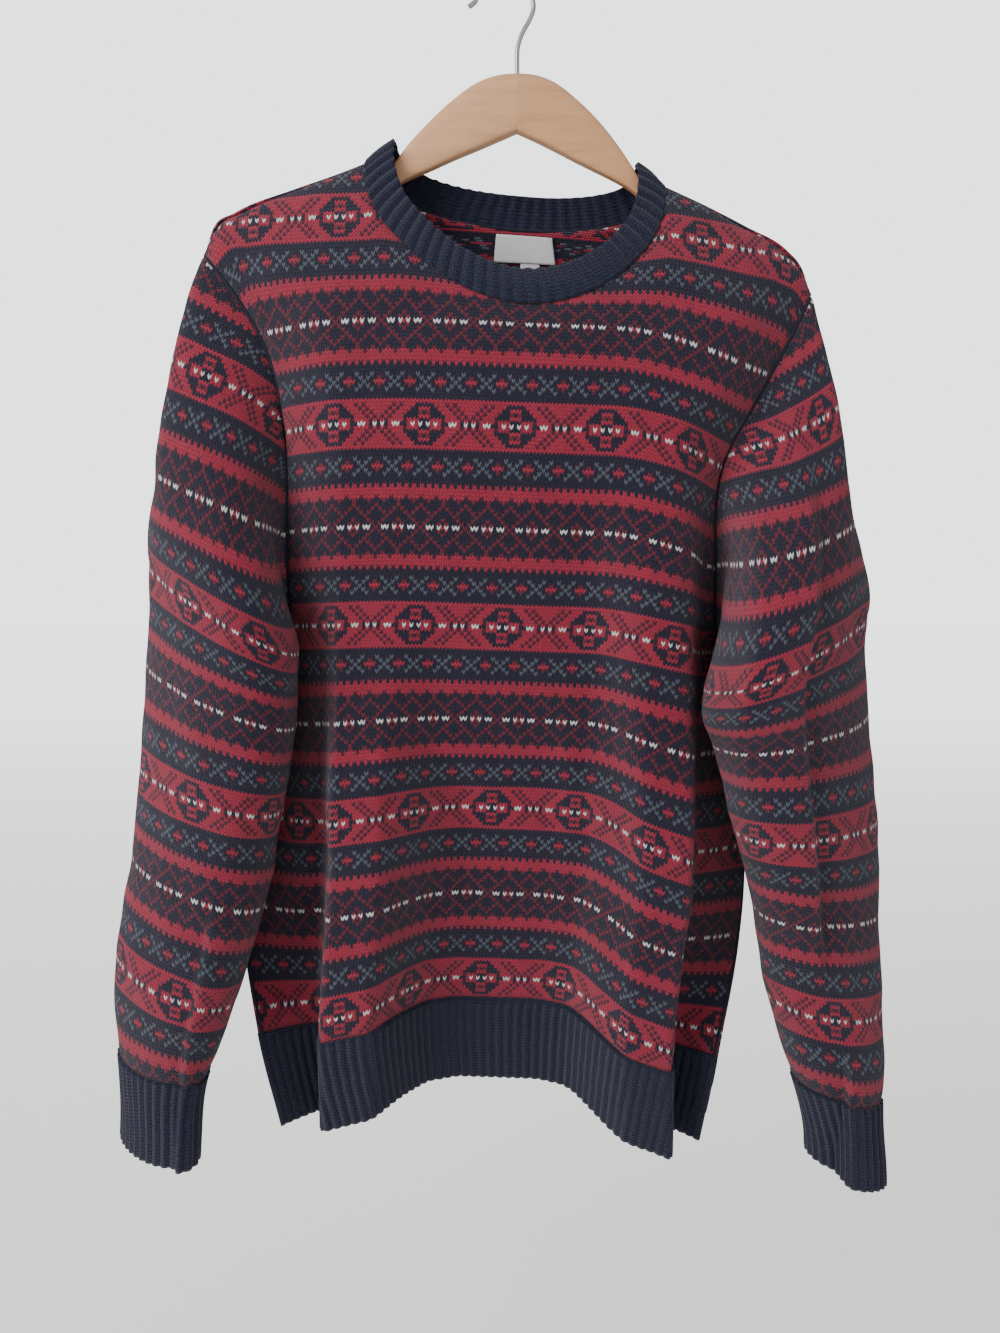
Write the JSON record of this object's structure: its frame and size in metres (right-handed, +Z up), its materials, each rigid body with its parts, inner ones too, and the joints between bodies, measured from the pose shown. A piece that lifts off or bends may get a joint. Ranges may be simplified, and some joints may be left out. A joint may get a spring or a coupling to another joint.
{
  "type": "fair isle jumper on a wooden hanger",
  "caption": "Knitted jumper with a traditional banded colour pattern, round ribbed neck, long sleeves and ribbed hem and cuffs, hanging open on a wooden hanger with a wire hook.",
  "frame": {"origin": "where the hanger's hook rests on whatever holds it, on the inside of the top of its bend", "axes": "+Z up, the jumper hanging down along -Z; +X towards the right of someone looking at the front; +Y from the front to the back"},
  "size_m": [0.6301, 0.1689, 0.9276],
  "materials": {
    "patterned_knit": "matt stranded wool knit in navy, red, white and grey",
    "ribbing": "matt ribbed wool knit in navy",
    "label": "blank woven satin",
    "wood": "pale satin-lacquered wood",
    "wire": "plain drawn wire"
  },
  "bodies": {
    "root": {"front": "patterned_knit", "back": "patterned_knit", "sleeve_left": "patterned_knit", "sleeve_right": "patterned_knit", "neck_rib": "ribbing", "hem_rib": "ribbing", "cuff_left": "ribbing", "cuff_right": "ribbing", "neck_label": "label", "size_tab": "label", "hanger_left": "wood", "hanger_right": "wood", "hanger_hook": "wire"}
  },
  "joints": []
}
